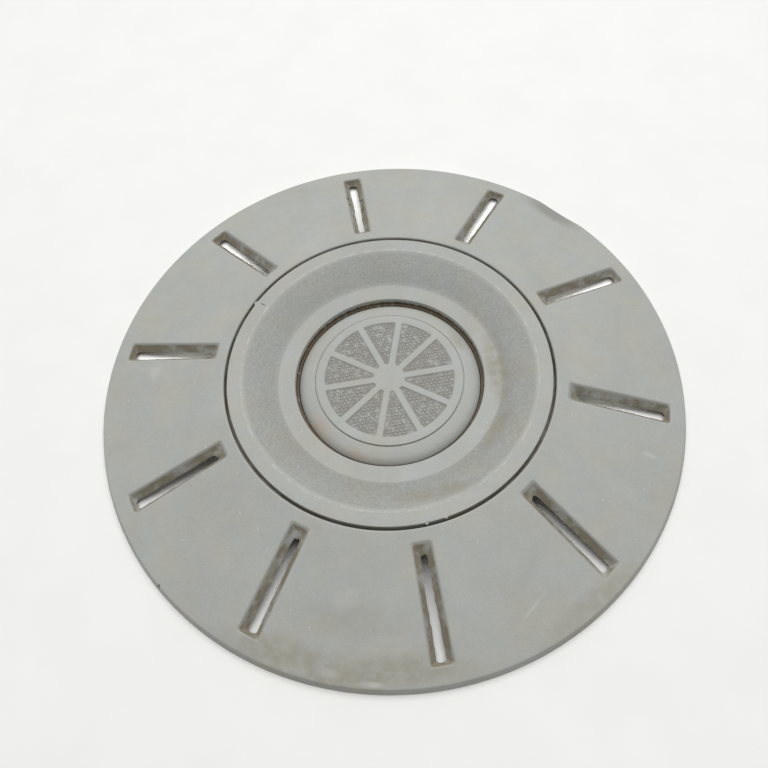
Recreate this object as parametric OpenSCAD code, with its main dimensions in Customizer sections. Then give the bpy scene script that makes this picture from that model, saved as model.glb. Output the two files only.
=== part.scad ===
// Push-on wheel centre cap, 257 mm across, lying on its rim with its face up.
// A slotted outer ring carries a dished centre cover, which holds a small round badge.
// A sprung wire ring behind the ring's fingers presses them into the wheel.
// Millimetres; z = 0 is the plane of the rim's foot and +Z leaves the wheel.

/* [Rim and flange] */
// Radius of the rim's foot, on which the cap rests
rim_r = 128.5; // [122:0.5:136]
// Height of the rim's outer wall
rim_h = 4; // [3.6:0.1:5.5]
// How far the rim's outer wall leans in over its height
rim_lean = 1.35; // [0.5:0.05:2]
// Radius of the rim's upper edge
rim_round = 0.8; // [0.3:0.1:1.5]
// Fall of the flange from its inner edge to the rim, in degrees
flange_slope = 13.3; // [12.6:0.1:15]
// Thickness of the flange
flange_wall = 3; // [2.2:0.1:3.4]
// Width of the rim's foot
foot_w = 2.4; // [1.6:0.1:3]
// Radius of the opening that the centre cover fills
bore_r = 71.1; // [69:0.1:74]
// Radius of the opening's upper edge
bore_round = 0.7; // [0.3:0.1:1]

/* [Slots] */
// Number of slots round the flange
slots = 10; // [8:1:12]
// Width of a slot at its inner end, on the flange's face
slot_w_in = 8.4; // [7.6:0.1:9.5]
// Width of a slot at its outer end, on the flange's face
slot_w_out = 9.5; // [8.5:0.1:12]
// Width of flange left between the opening and a slot
slot_edge_in = 5.1; // [4:0.1:8]
// Width of flange left between a slot and the rim's edge
slot_edge_out = 6.4; // [5:0.1:10]
// How far each long side leans in from the face to the back
slot_draft = 2.7; // [1.5:0.1:3]
// How far the inner end leans in from the face to the back
slot_draft_in = 3.7; // [2:0.1:5]
// How far the outer end leans in from the face to the back
slot_draft_out = 1.8; // [1:0.1:4]
// Corner radius of a slot on the flange's face
slot_corner = 0.8; // [0.4:0.1:1.5]
// Height of the collar round a slot's back, below the flange
collar_h = 0.7; // [0.4:0.1:1.5]
// Width of that collar's wall
collar_w = 1.7; // [1:0.1:2.5]

/* [Pry scoop] */
// Direction of the scoop, in degrees from +X
scoop_at = 38.5; // [20:0.5:50]
// Radius of the dished face of the scoop
scoop_ball = 71; // [50:1:90]
// Depth of the scoop at its middle
scoop_depth = 1.6; // [0.8:0.1:2]
// How far the scoop's middle lies outside the rim's edge
scoop_out = 4.5; // [2:0.1:6]

/* [Back of the ring] */
// Height of the radial ribs below the flange
rib_h = 3.5; // [2:0.1:5]
// Thickness of the radial ribs
rib_t = 1.6; // [1:0.1:2.4]
// Width of the ledge that the centre cover stands on
ledge_w = 9.1; // [8:0.1:11]
// Thickness of that ledge
ledge_t = 2.5; // [1.8:0.1:3]
// Thickness of the spring fingers
finger_t = 2.5; // [1.8:0.1:3]
// Width of a spring finger, in degrees
finger_arc = 28; // [18:1:29]
// Height of the fingers' tips above the rim's foot
tip_clear = 0.8; // [0.4:0.1:1.5]
// How far the catch on a finger reaches outwards
catch_out = 1.4; // [0.8:0.1:2]
// Diameter of the sprung wire
wire_d = 2.5; // [1.8:0.1:3]
// Opening between the wire's ends, in degrees
wire_gap = 9; // [4:1:20]

/* [Centre cover] */
// Gap all round between the ring and the centre cover
cover_gap = 1.3; // [0.9:0.1:1.8]
// How far the cover's face lies below the flange's inner edge
cover_drop = 0.1; // [0:0.05:0.3]
// Thickness of the cover
cover_wall = 2.5; // [1.8:0.1:2.8]
// Height of the cover's skirt from its face to the ledge
skirt_h = 5.2; // [4:0.1:6]
// Width of the flat land round the dish
land_w = 6.5; // [4:0.1:8]
// Radius at which the sloped wall of the dish ends
dish_r = 49.4; // [47:0.1:52]
// Depth of the dish below the land
dish_depth = 7.4; // [6:0.1:7.6]
// Fall of the dish's floor towards the recess
dish_fall = 0.5; // [0.2:0.1:0.6]
// Radius that blends the sloped wall into the dish's floor
dish_blend = 8; // [3:0.5:12]
// Depth of the recess wall above the badge's seat
recess_depth = 3.5; // [2.6:0.1:3.8]
// Width of the narrow ledge round the badge
recess_ledge = 1; // [0.6:0.1:1.6]
// Depth of the badge's pocket below that ledge
pocket_depth = 1.8; // [1.2:0.1:2]
// Thickness of the floor under the badge
cup_floor = 2.2; // [1.6:0.1:2.5]
// Thickness of the gussets round the cup
gusset_t = 1.6; // [1:0.1:2.4]
// Number of snap hooks on the cover
hooks = 5; // [4:1:6]
// Width of a snap hook
hook_w = 11; // [8:0.5:14]
// Thickness of a snap hook
hook_t = 2; // [1.4:0.1:2.4]
// How far a hook grips under the ledge
hook_grip = 0.8; // [0.5:0.1:1]

/* [Badge] */
// Radius of the badge
badge_r = 39.8; // [38:0.1:41]
// Gap round the badge in its pocket
badge_gap = 0.35; // [0.2:0.05:0.5]
// Height of the badge's upright edge
badge_edge = 1.6; // [1:0.1:2]
// Width of the badge's rounded shoulder
shoulder_w = 3.2; // [2:0.1:4]
// Height of the badge's rounded shoulder
shoulder_h = 2.4; // [1.5:0.1:2.6]
// Height of the badge's middle above its seat
badge_h = 5.6; // [5:0.1:6.4]
// Radius of the badge's middle disc
disc_r = 32.3; // [30:0.1:33]
// Width of the fine groove round the middle disc
groove_w = 0.4; // [0.3:0.1:0.8]
// Depth of that groove
groove_d = 0.6; // [0.3:0.1:1]
// Thickness of the badge
badge_wall = 2.2; // [1.8:0.1:2.6]
// Number of sunk fields on the middle disc
fields = 10; // [6:1:12]
// Depth of the sunk fields
field_d = 0.5; // [0.2:0.1:0.8]
// Width of the bars between the fields
field_bar = 3; // [2:0.1:4]
// Radius of the badge's studs
stud_r = 2; // [1.5:0.1:2.5]
// Clearance of a stud in its hole
stud_clear = 0.2; // [0.1:0.05:0.4]

/* [Hidden] */
$fn = 180;
plastic = [0.69, 0.7, 0.67];
steel = [0.62, 0.63, 0.65];
overlap = 1;
seat_clear = 0.05;
slot_at = 90;
pitch = 360 / slots;

// Flange: a cone from the rim's edge up to the opening
edge_r = rim_r - rim_lean;
flange_v = flange_wall / cos(flange_slope);
bore_z = face_z(bore_r);
foot_in = rim_r - foot_w;
function face_z(r) = rim_h + (edge_r - r) * tan(flange_slope);
function back_z(r) = face_z(r) - flange_v;

// Slots: a wide outline on the face and a narrow one behind
slot_depth = flange_v + collar_h;
slot_in = bore_r + slot_edge_in;
slot_out = edge_r - slot_edge_out;
slot_end_flat = 0.1;
slot_back_corner = min(slot_w_in / 2, slot_w_out / 2) - slot_draft - slot_end_flat;
slot_above = 0.35;
corner_steps = 4;

// Ledge, fingers and wire under the opening
ledge_top = bore_z - cover_drop - skirt_h;
ledge_bottom = ledge_top - ledge_t;
ledge_in = bore_r - ledge_w;
finger_out = bore_r + finger_t;
lip_h = 0.8;
lip_w = 1.9;
nub_h = 0.8;
nub_w = 0.7;
catch_lead = 0.8;
catch_flat = 0.5;
catch_steep = 0.7;
wire_clear = 0.1;
wire_r = bore_r - wire_clear - wire_d / 2;
wire_z = tip_clear + lip_h + seat_clear + wire_d / 2;
rib_clear = 0.8;

// Centre cover, hung from the flange's inner edge
cover_r = bore_r - cover_gap;
land_z = bore_z - cover_drop;
dish_top_r = cover_r - land_w;
dish_z = land_z - dish_depth;
pocket_r = badge_r + badge_gap;
recess_foot_r = pocket_r + recess_ledge;
recess_lean = 0.3;
recess_r = recess_foot_r + recess_lean;
recess_z = dish_z - dish_fall;
pocket_ledge_z = recess_z - recess_depth;
seat_z = pocket_ledge_z - pocket_depth;
cup_z = seat_z - cup_floor;
cup_r = recess_r + cover_wall;
cup_lean = 1.2;
wall_shift = 1.2;
edge_round = 0.3;
land_round = 1.5;
recess_round = 0.5;
cup_round = 1;
skirt_wall = 2.4;
skirt_in = cover_r - skirt_wall;
hook_inset = 1.6;
hook_out = cover_r - hook_inset;
hook_slack = 0.4;
window_play = 3;
window_out = hook_out + hook_grip + hook_slack;
window_in = hook_out - hook_t - hook_slack;
barb_h = 1.8;
barb_lip = 0.5;
gusset_gap = 1;
gusset_end = ledge_in - gusset_gap;
gusset_rise = 2.7;
gusset_z = cup_z + gusset_rise;

// Badge
stud_count = 4;
stud_at = 45;
stud_inset = 14;
stud_ring_r = badge_r - stud_inset;
stud_head_w = 1.5;
stud_head_r = stud_r + stud_head_w;
stud_head_h = 1;
shoulder_bulge = 0.35;
ring_rise = 1.1;
disc_rise = 0.45;
disc_bevel = 0.2;
back_step = 1.2;
hub_r = 7;
disc_margin = 4;
field_out = disc_r - disc_margin;
field_steps = 3;

// Points of an arc about c from s to e, the short way round
function arc(c, s, e, n = corner_steps) =
    let (a = atan2(s.y - c.y, s.x - c.x),
         b = atan2(e.y - c.y, e.x - c.x),
         turn = (b - a + 540) % 360 - 180,
         r = norm(s - c))
    [for (k = [0:n]) c + r * [cos(a + turn * k / n), sin(a + turn * k / n)]];

// Corner b of the path a, b, c, rounded with radius r
function corner(a, b, c, r, n = corner_steps) =
    let (u = (a - b) / norm(a - b),
         v = (c - b) / norm(c - b),
         half = acos(u * v) / 2,
         reach = r / tan(half),
         mid = b + (u + v) / norm(u + v) * r / sin(half))
    arc(mid, b + u * reach, b + v * reach, n);

// Arc from p to q that bulges by sag to the left of the way from p to q
function bulge(p, q, sag, n = 6) =
    let (half = norm(q - p) / 2,
         r = (half * half + sag * sag) / (2 * sag),
         left = [p.y - q.y, q.x - p.x] / (2 * half))
    arc((p + q) / 2 - left * (r - sag), p, q, n);

// Outline of a slot in plan, widened by grow; t is 0 on the face and 1 at the back
function slot_outline(t, grow = 0) =
    let (r = slot_corner + (slot_back_corner - slot_corner) * t + grow,
         a = slot_in + slot_draft_in * t - grow,
         b = slot_out - slot_draft_out * t + grow,
         wa = slot_w_in / 2 - slot_draft * t + grow,
         wb = slot_w_out / 2 - slot_draft * t + grow)
    concat(corner([a, wa], [a, -wa], [b, -wb], r),
           corner([a, -wa], [b, -wb], [b, wb], r),
           corner([b, -wb], [b, wb], [a, wa], r),
           corner([b, wb], [a, wa], [a, -wa], r));

// The same outline laid on a surface that lies drop below the flange's face
function on_flange(outline, drop) = [for (p = outline) [p.x, p.y, face_z(norm(p)) - drop]];

// Closed solid through anticlockwise rings of points that follow each other downwards
module loft(rings) {
    n = len(rings[0]);
    last = (len(rings) - 1) * n;
    points = [for (ring = rings) each ring];
    sides = [for (j = [0:len(rings) - 2], k = [0:n - 1])
        let (a = j * n + k, b = j * n + (k + 1) % n)
        each [[a, b, a + n], [b, b + n, a + n]]];
    cap_a = [for (k = [1:n - 2]) [0, k + 1, k]];
    cap_b = [for (k = [1:n - 2]) [last, last + k, last + k + 1]];
    polyhedron(points, concat(sides, cap_a, cap_b), convexity = 4);
}

module around(count, start = 0) {
    for (k = [0:count - 1]) rotate([0, 0, start + k * 360 / count]) children();
}

// Flat plate of the given thickness that stands along a radius
module radial_plate(outline, thickness) {
    rotate([90, 0, 0])
        translate([0, 0, -thickness / 2])
            linear_extrude(thickness) polygon(outline);
}

module slot_cutter() {
    face = on_flange(slot_outline(0), 0);
    back = on_flange(slot_outline(1), slot_depth);
    above = face + (face - back) * slot_above;
    below = [for (p = back) p - [0, 0, overlap]];
    loft([above, back, below]);
}

module slot_collar() {
    outline = slot_outline(1, collar_w);
    loft([on_flange(outline, flange_v - overlap), on_flange(outline, slot_depth)]);
}

// Section of the ring: rim, flange, opening, ledge
module ring_section() {
    edge = [edge_r, rim_h];
    mouth = [bore_r, bore_z];
    polygon(concat(
        [[foot_in, 0], [rim_r, 0]],
        corner([rim_r, 0], edge, mouth, rim_round),
        corner(edge, mouth, [bore_r, ledge_top], bore_round),
        [[bore_r, ledge_top], [ledge_in, ledge_top], [ledge_in, ledge_bottom],
         [finger_out, ledge_bottom], [finger_out, back_z(finger_out)],
         [foot_in, back_z(foot_in)]]));
}

// Section of a finger: catch outside, nub and lip that hold the wire inside
module finger_section() {
    lip_top = tip_clear + lip_h;
    nub_z = wire_z + wire_d / 2 + seat_clear;
    catch_z = tip_clear + catch_out + catch_lead;
    polygon([
        [bore_r, ledge_bottom + overlap],
        [bore_r, nub_z + nub_h + nub_w],
        [bore_r - nub_w, nub_z + nub_h],
        [bore_r - nub_w, nub_z + nub_w],
        [bore_r, nub_z],
        [bore_r, lip_top],
        [bore_r - lip_w, lip_top],
        [bore_r - lip_w, tip_clear],
        [finger_out - catch_lead, tip_clear],
        [finger_out + catch_out, catch_z],
        [finger_out + catch_out, catch_z + catch_flat],
        [finger_out, catch_z + catch_flat + catch_out - catch_steep],
        [finger_out, ledge_bottom + overlap]]);
}

module finger() {
    rotate([0, 0, -finger_arc / 2])
        rotate_extrude(angle = finger_arc) finger_section();
}

// Radial rib under the flange, cut off level above the rim's foot
module rib() {
    a = finger_out - overlap;
    b = foot_in + overlap;
    level_r = edge_r - (rib_clear + rib_h + flange_v - rim_h) / tan(flange_slope);
    radial_plate([
        [a, back_z(a) + overlap],
        [a, back_z(a) - rib_h],
        [level_r, rib_clear],
        [b, rib_clear],
        [b, back_z(b) + overlap]], rib_t);
}

// Hollow at the rim for a flat tool
module scoop() {
    r = edge_r + scoop_out;
    lift = scoop_ball - scoop_depth;
    rotate([0, 0, scoop_at])
        translate([r + lift * sin(flange_slope), 0, face_z(r) + lift * cos(flange_slope)])
            sphere(scoop_ball);
}

module hook_window() {
    window_w = hook_w + window_play;
    translate([window_in, -window_w / 2, ledge_bottom - overlap])
        cube([window_out - window_in, window_w, ledge_t + 2 * overlap]);
}

module outer_ring() {
    color(plastic)
    difference() {
        union() {
            rotate_extrude() ring_section();
            around(slots, slot_at) finger();
            around(slots, slot_at + pitch / 2) rib();
            around(slots, slot_at) slot_collar();
        }
        around(slots, slot_at) slot_cutter();
        around(hooks) hook_window();
        scoop();
    }
}

// Section of the cover: skirt, land, dish, recess and cup
module cover_section() {
    land = [dish_top_r, land_z];
    dish = [dish_r, dish_z];
    brink = [recess_r, recess_z];
    ledge = [recess_foot_r, pocket_ledge_z];
    under = [0, -cover_wall];
    inner_land = land + under + [wall_shift, 0];
    inner_dish = dish + under + [wall_shift, 0];
    inner_cup = [cup_r, recess_z - cover_wall];
    polygon(concat(
        [[skirt_in, ledge_top], [cover_r, ledge_top]],
        corner([cover_r, ledge_top], [cover_r, land_z], land, edge_round),
        corner([cover_r, land_z], land, dish, land_round),
        corner(land, dish, brink, dish_blend, 6),
        corner(dish, brink, ledge, recess_round),
        [ledge, [pocket_r, pocket_ledge_z], [pocket_r, seat_z], [0, seat_z], [0, cup_z]],
        corner([0, cup_z], [cup_r - cup_lean, cup_z], inner_cup, cup_round),
        [inner_cup],
        corner(inner_cup, inner_dish, inner_land, dish_blend / 2),
        [inner_land, [skirt_in, land_z - cover_wall]]));
}

// Hook that passes through the ring's ledge and grips it from behind
module snap_hook() {
    a = hook_out - hook_t;
    top = land_z - cover_wall / 2;
    barb_z = ledge_bottom - seat_clear;
    barb_r = window_out + hook_grip;
    radial_plate([
        [a, top],
        [a, barb_z - barb_h],
        [hook_out, barb_z - barb_h],
        [barb_r, barb_z - barb_lip],
        [barb_r, barb_z],
        [hook_out, barb_z],
        [hook_out, top]], hook_w);
}

// Gusset from the cup's foot up to the underside of the land
module gusset() {
    a = cup_r - cup_lean - overlap;
    radial_plate([
        [a, gusset_z],
        [cup_r, gusset_z],
        [gusset_end, ledge_bottom + gusset_gap],
        [gusset_end, land_z - cover_wall],
        [dish_r, dish_z - cover_wall / 2],
        [a, recess_z - cover_wall / 2]], gusset_t);
}

module centre_cover() {
    color(plastic)
    difference() {
        union() {
            rotate_extrude() cover_section();
            around(slots, slot_at) gusset();
            around(hooks) snap_hook();
        }
        around(stud_count, stud_at)
            translate([stud_ring_r, 0, cup_z - overlap])
                cylinder(r = stud_r + stud_clear, h = cup_floor + 2 * overlap, $fn = 48);
    }
}

// Section of the badge: upright edge, rounded shoulder, sloped ring, groove and disc
module badge_section() {
    shoulder_r = badge_r - shoulder_w;
    shoulder_z = seat_z + badge_edge + shoulder_h;
    top_z = seat_z + badge_h;
    groove_r = disc_r + groove_w;
    inner_r = badge_r - badge_wall;
    inner_z = top_z - badge_wall;
    polygon(concat(
        [[inner_r, seat_z], [badge_r, seat_z]],
        bulge([badge_r, seat_z + badge_edge], [shoulder_r, shoulder_z], -shoulder_bulge),
        [[groove_r, shoulder_z + ring_rise],
         [groove_r, top_z - disc_rise - groove_d],
         [disc_r, top_z - disc_rise - groove_d],
         [disc_r, top_z - disc_bevel],
         [disc_r - disc_bevel, top_z],
         [0, top_z],
         [0, inner_z],
         [disc_r - badge_wall, inner_z],
         [inner_r - back_step, shoulder_z - badge_wall],
         [inner_r, seat_z + badge_edge]]));
}

// Outline of one sunk field, between two straight bars, the hub and the outer ring
function field_outline() =
    let (step = 180 / fields,
         shift = field_bar / 2,
         side = [sin(step), -cos(step)],
         a = sqrt(hub_r * hub_r - shift * shift),
         b = sqrt(field_out * field_out - shift * shift),
         near = [cos(step) * a, sin(step) * a] + side * shift,
         far = [cos(step) * b, sin(step) * b] + side * shift,
         low_near = [near.x, -near.y],
         top = atan2(far.y, far.x))
    concat([low_near],
           [for (k = [-field_steps:field_steps])
               field_out * [cos(top * k / field_steps), sin(top * k / field_steps)]],
           [near]);

module centre_badge() {
    top_z = seat_z + badge_h;
    color(plastic)
    difference() {
        union() {
            rotate_extrude() badge_section();
            around(stud_count, stud_at) translate([stud_ring_r, 0, 0]) {
                translate([0, 0, cup_z - stud_head_h])
                    cylinder(r = stud_r, h = top_z - badge_wall - cup_z + stud_head_h + overlap,
                             $fn = 48);
                translate([0, 0, cup_z - stud_head_h])
                    cylinder(r = stud_head_r, h = stud_head_h, $fn = 48);
            }
        }
        around(fields, slot_at)
            translate([0, 0, top_z - field_d])
                linear_extrude(field_d + overlap) polygon(field_outline());
    }
}

// Open ring of round wire, lying on the lips of the fingers
module retaining_ring() {
    color(steel)
    rotate([0, 0, slot_at + pitch / 2 + wire_gap / 2])
        rotate_extrude(angle = 360 - wire_gap)
            translate([wire_r, wire_z]) circle(d = wire_d, $fn = 32);
}

outer_ring();
centre_cover();
centre_badge();
retaining_ring();
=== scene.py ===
import math

import bmesh
import bpy
import numpy as np
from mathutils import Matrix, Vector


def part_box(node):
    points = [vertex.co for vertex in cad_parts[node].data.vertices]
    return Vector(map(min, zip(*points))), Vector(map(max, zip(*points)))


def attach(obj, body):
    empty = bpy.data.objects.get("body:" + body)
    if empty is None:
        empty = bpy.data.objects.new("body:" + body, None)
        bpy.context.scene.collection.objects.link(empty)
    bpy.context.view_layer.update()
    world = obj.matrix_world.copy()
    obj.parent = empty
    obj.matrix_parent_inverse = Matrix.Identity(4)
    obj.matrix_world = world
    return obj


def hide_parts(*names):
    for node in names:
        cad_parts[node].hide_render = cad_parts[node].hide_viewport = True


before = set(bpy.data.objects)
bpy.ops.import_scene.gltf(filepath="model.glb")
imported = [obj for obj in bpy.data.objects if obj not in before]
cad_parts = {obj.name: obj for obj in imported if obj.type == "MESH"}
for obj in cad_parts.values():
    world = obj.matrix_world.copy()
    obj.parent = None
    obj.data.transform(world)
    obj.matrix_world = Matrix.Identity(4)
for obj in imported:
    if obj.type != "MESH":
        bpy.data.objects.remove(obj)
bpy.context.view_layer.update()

# Lengths below are in millimetres; MM turns them into metres where a mesh is made.
MM = 0.001

# Rim and flange of the outer ring
RIM_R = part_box("outer_ring")[1][0] / MM
RIM_H = 4.0
RIM_LEAN = 1.35
RIM_ROUND = 0.8
EDGE_R = RIM_R - RIM_LEAN
FOOT_R = RIM_R - 2.4
SLOPE = math.radians(13.3)
FALL = math.tan(SLOPE)
FLANGE_V = 3.0 / math.cos(SLOPE)
BORE_R = 71.1
BORE_ROUND = 0.7

# Slots
SLOTS = 10
PITCH = 360 / SLOTS
SLOT_AT = 18.0
SLOT_IN = BORE_R + 5.1
SLOT_OUT = EDGE_R - 6.4
SLOT_HALF_IN = 4.2
SLOT_HALF_OUT = 4.75
DRAFT_SIDE = 2.7
DRAFT_IN = 3.7
DRAFT_OUT = 1.8
CORNER_FACE = 0.8
CORNER_BACK = 1.4
SLOT_DEPTH = FLANGE_V + 0.7
SLOT_LIP = 0.35
COLLAR_W = 1.7

# Samples round a slot: long sides, inner end, outer end and each corner
LONG, ACROSS_IN, ACROSS_OUT, TURN = 64, 14, 24, 5

# Scoop at the rim
SCOOP_AT = math.radians(38.5)
SCOOP_BALL = 71.0
SCOOP_DEPTH = 1.6
SCOOP_R = EDGE_R + 4.5

# Ledge, spring fingers and ribs behind the flange
LEDGE_IN = BORE_R - 9.1
FINGER_OUT = BORE_R + 2.5
FINGER_ARC = 28
TIP_Z = 0.8
CATCH = 1.4
RIB_H = 3.5
RIB_T = 1.6
HOOKS = 5
HOOK_W = 11.0

# Centre cover
LAND_Z = 17.15
COVER_R = BORE_R - 1.3
COVER_WALL = 2.5
SKIRT_IN = COVER_R - 2.4
LEDGE_Z = LAND_Z - 5.2
LEDGE_T = 2.5
DISH_TOP_R = COVER_R - 6.5
DISH_R = 49.4
DISH_Z = LAND_Z - 7.4
RECESS_R = 41.45
RECESS_Z = DISH_Z - 0.5
RECESS_FOOT = 41.15
POCKET_Z = RECESS_Z - 3.5
POCKET_R = 40.15
SEAT_Z = POCKET_Z - 1.8
CUP_Z = SEAT_Z - 2.2
CUP_R = RECESS_R + COVER_WALL

# Badge
BADGE_R = 39.8
BADGE_EDGE = 1.6
SHOULDER_R = BADGE_R - 3.2
SHOULDER_Z = SEAT_Z + BADGE_EDGE + 2.4
BADGE_TOP = SEAT_Z + 5.6
DISC_R = 32.3
GROOVE_R = DISC_R + 0.4
BADGE_WALL = 2.2
HUB_R = 7.0
FIELD_OUT = DISC_R - 4
FIELD_D = 0.5
BAR_HALF = 1.5
STUD_R = 2.0
STUD_RING = BADGE_R - 14

# Sprung wire
WIRE_D = 2.5
WIRE_R = BORE_R - 0.1 - WIRE_D / 2
WIRE_Z = TIP_Z + 0.8 + 0.05 + WIRE_D / 2
WIRE_GAP = 9


def face_z(r):
    """Height of the flange's face: a cone that falls from the opening to the rim."""
    return RIM_H + (EDGE_R - r) * FALL


def smooth(x, low, high):
    """Smooth step from 0 at low to 1 at high: 3t^2 - 2t^3 of the clamped share t."""
    t = np.clip((x - low) / (high - low), 0, 1)
    return t * t * (3 - 2 * t)


def arc_between(centre, start, end, steps):
    """Points of the arc about centre from start to end, the short way round."""
    a, b = (math.atan2(*(p - centre)[::-1]) for p in (start, end))
    turn = (b - a + math.pi) % (2 * math.pi) - math.pi
    angles = a + turn * np.linspace(0, 1, steps + 1)
    radius = np.linalg.norm(start - centre)
    return centre + radius * np.stack([np.cos(angles), np.sin(angles)], axis=1)


def outline(*stops, steps=5):
    """Outline through (r, z, radius) stops: an inner stop with a radius becomes the arc
    of that radius that touches both of its legs, the others stay sharp."""
    spots = np.array([stop[:2] for stop in stops], float)
    parts = []
    for k, stop in enumerate(stops):
        if len(stop) < 3:
            parts.append(spots[k:k + 1])
            continue
        u, v = (d / np.linalg.norm(d) for d in (spots[k - 1] - spots[k], spots[k + 1] - spots[k]))
        half = math.acos(float(u @ v)) / 2
        reach = stop[2] / math.tan(half)
        mid = spots[k] + (u + v) / np.linalg.norm(u + v) * stop[2] / math.sin(half)
        parts.append(arc_between(mid, spots[k] + u * reach, spots[k] + v * reach, steps))
    return np.concatenate(parts)


def divided(path, longest):
    """The same outline with extra points, so that no leg is longer than the given length."""
    legs = np.linalg.norm(np.diff(path, axis=0), axis=1)
    counts = np.maximum(1, np.ceil(legs / longest)).astype(int)
    shares = np.concatenate([k + np.arange(n) / n for k, n in enumerate(counts)] + [[len(legs)]])
    index = np.arange(len(path))
    return np.stack([np.interp(shares, index, path[:, c]) for c in (0, 1)], axis=1)


def around(path, degrees):
    """Grid of the outline (r, z) carried round the Z axis: x = r cos a, y = r sin a."""
    a = np.radians(degrees)[:, None]
    r, z = path[:, 0][None], path[:, 1][None]
    return np.stack([r * np.cos(a), r * np.sin(a), z + 0 * a], axis=-1)


def turned(points, degrees):
    """Points turned about the Z axis: (x cos a - y sin a, x sin a + y cos a, z)."""
    a = np.radians(degrees)
    x, y, z = points[..., 0], points[..., 1], points[..., 2]
    return np.stack([x * np.cos(a) - y * np.sin(a), x * np.sin(a) + y * np.cos(a), z], axis=-1)


def wander(rng, rows, count, width):
    """Rows of random waviness that close on themselves: white noise whose Fourier terms
    are weighed by a bell curve, scaled to unit spread."""
    terms = np.fft.rfft(rng.normal(size=(rows, count)), axis=1)
    bell = np.exp(-(np.arange(terms.shape[1]) * width / count) ** 2 * 8)
    line = np.fft.irfft(terms * bell, n=count, axis=1)
    return line / line.std(axis=1, keepdims=True)


class Shells:
    """Grids of points gathered into the closed shells of one mesh."""

    def __init__(self):
        self.points, self.faces, self.count = [], [], 0

    def grid(self, points, wrap_u=False, wrap_v=False, keep=None):
        """Adds the quads between neighbours of a (u, v) grid; wrap joins the last row or
        column to the first, and keep leaves out the quads where it is false."""
        nu, nv = points.shape[:2]
        number = np.arange(nu * nv).reshape(nu, nv) + self.count
        if wrap_u:
            number = np.concatenate([number, number[:1]])
        if wrap_v:
            number = np.concatenate([number, number[:, :1]], axis=1)
        quads = np.stack([number[:-1, :-1], number[1:, :-1], number[1:, 1:], number[:-1, 1:]], axis=-1)
        if keep is not None:
            quads = quads[keep]
        self.points.append(points.reshape(-1, 3))
        self.faces.append(quads.reshape(-1, 4))
        self.count += nu * nv

    def slab(self, front, back):
        """Closed shell between two matched grids: both grids, and a strip round their edge."""
        def rim(g):
            return np.concatenate([g[:-1, 0], g[-1, :-1], g[:0:-1, -1], g[0, :0:-1]])
        self.grid(front)
        self.grid(back[:, ::-1])
        self.grid(np.stack([rim(front), rim(back)]), wrap_v=True)

    def make(self, name, material, slot, *nodes):
        """Mesh object from the gathered grids, its doubles merged and its faces outwards.
        It rides on the root body and stands for the CAD nodes. The slot argument is not used."""
        points = np.concatenate(self.points) * MM
        faces = np.concatenate(self.faces)
        mesh = bpy.data.meshes.new(name)
        mesh.vertices.add(len(points))
        mesh.vertices.foreach_set("co", points.ravel())
        mesh.loops.add(faces.size)
        mesh.loops.foreach_set("vertex_index", faces.ravel())
        mesh.polygons.add(len(faces))
        mesh.polygons.foreach_set("loop_start", np.arange(0, faces.size, 4))
        mesh.polygons.foreach_set("loop_total", np.full(len(faces), 4))
        mesh.update(calc_edges=True)
        shape = bmesh.new()
        shape.from_mesh(mesh)
        bmesh.ops.remove_doubles(shape, verts=shape.verts, dist=0.002 * MM)
        bmesh.ops.dissolve_degenerate(shape, edges=shape.edges, dist=0.0005 * MM)
        bmesh.ops.recalc_face_normals(shape, faces=shape.faces)
        shape.to_mesh(mesh)
        shape.free()
        mesh.validate()
        mesh.shade_smooth()
        mesh.set_sharp_from_angle(angle=math.radians(38))
        piece = bpy.data.objects.new(name, mesh)
        bpy.context.collection.objects.link(piece)
        piece.data.materials.append(material)
        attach(piece, "root")
        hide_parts(*nodes)
        return piece


def slot_loop(t):
    """Anticlockwise outline of a slot in plan and its outward normals, at the share t of
    its depth: straight sides that lean in with the draft, and round corners."""
    r = CORNER_FACE + (CORNER_BACK - CORNER_FACE) * t
    a, b = SLOT_IN + DRAFT_IN * t, SLOT_OUT - DRAFT_OUT * t
    wa, wb = SLOT_HALF_IN - DRAFT_SIDE * t, SLOT_HALF_OUT - DRAFT_SIDE * t
    spots = [(a, -wa), (b, -wb), (b, wb), (a, wa)]
    rounds = []
    for k in range(4):
        bend = outline(spots[k - 1], (*spots[k], r), spots[(k + 1) % 4], steps=TURN)
        rounds.append(bend[1:-1])
    runs = []
    for k, count in enumerate((LONG, ACROSS_OUT, LONG, ACROSS_IN)):
        start, end = rounds[k][-1], rounds[(k + 1) % 4][0]
        share = np.linspace(0, 1, count + 1)[:-1, None]
        runs.append(start + (end - start) * share)
        runs.append(rounds[(k + 1) % 4][:-1])
    loop = np.concatenate(runs)
    along = np.roll(loop, -1, axis=0) - np.roll(loop, 1, axis=0)
    normal = np.stack([along[:, 1], -along[:, 0]], axis=1)
    return loop, normal / np.linalg.norm(normal, axis=1, keepdims=True)


def sector_loop(r_in, r_out):
    """Border of one slot's sector in plan, with as many samples as the slot's outline: up
    one radial side, along the outer arc, down the other side and back on the inner arc."""
    half = math.radians(PITCH / 2)
    r_side = np.linspace(r_in, r_out, LONG + 1)
    out_arc = np.linspace(-half, half, ACROSS_OUT + 2 * TURN + 1)
    in_arc = np.linspace(half, -half, ACROSS_IN + 2 * TURN + 1)
    r = np.concatenate([r_side[:-1], np.full(len(out_arc) - 1, r_out), r_side[:0:-1],
                        np.full(len(in_arc) - 1, r_in)])
    a = np.concatenate([np.full(LONG, -half), out_arc[:-1], np.full(LONG, half), in_arc[:-1]])
    return np.stack([r * np.cos(a), r * np.sin(a)], axis=1)


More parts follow.
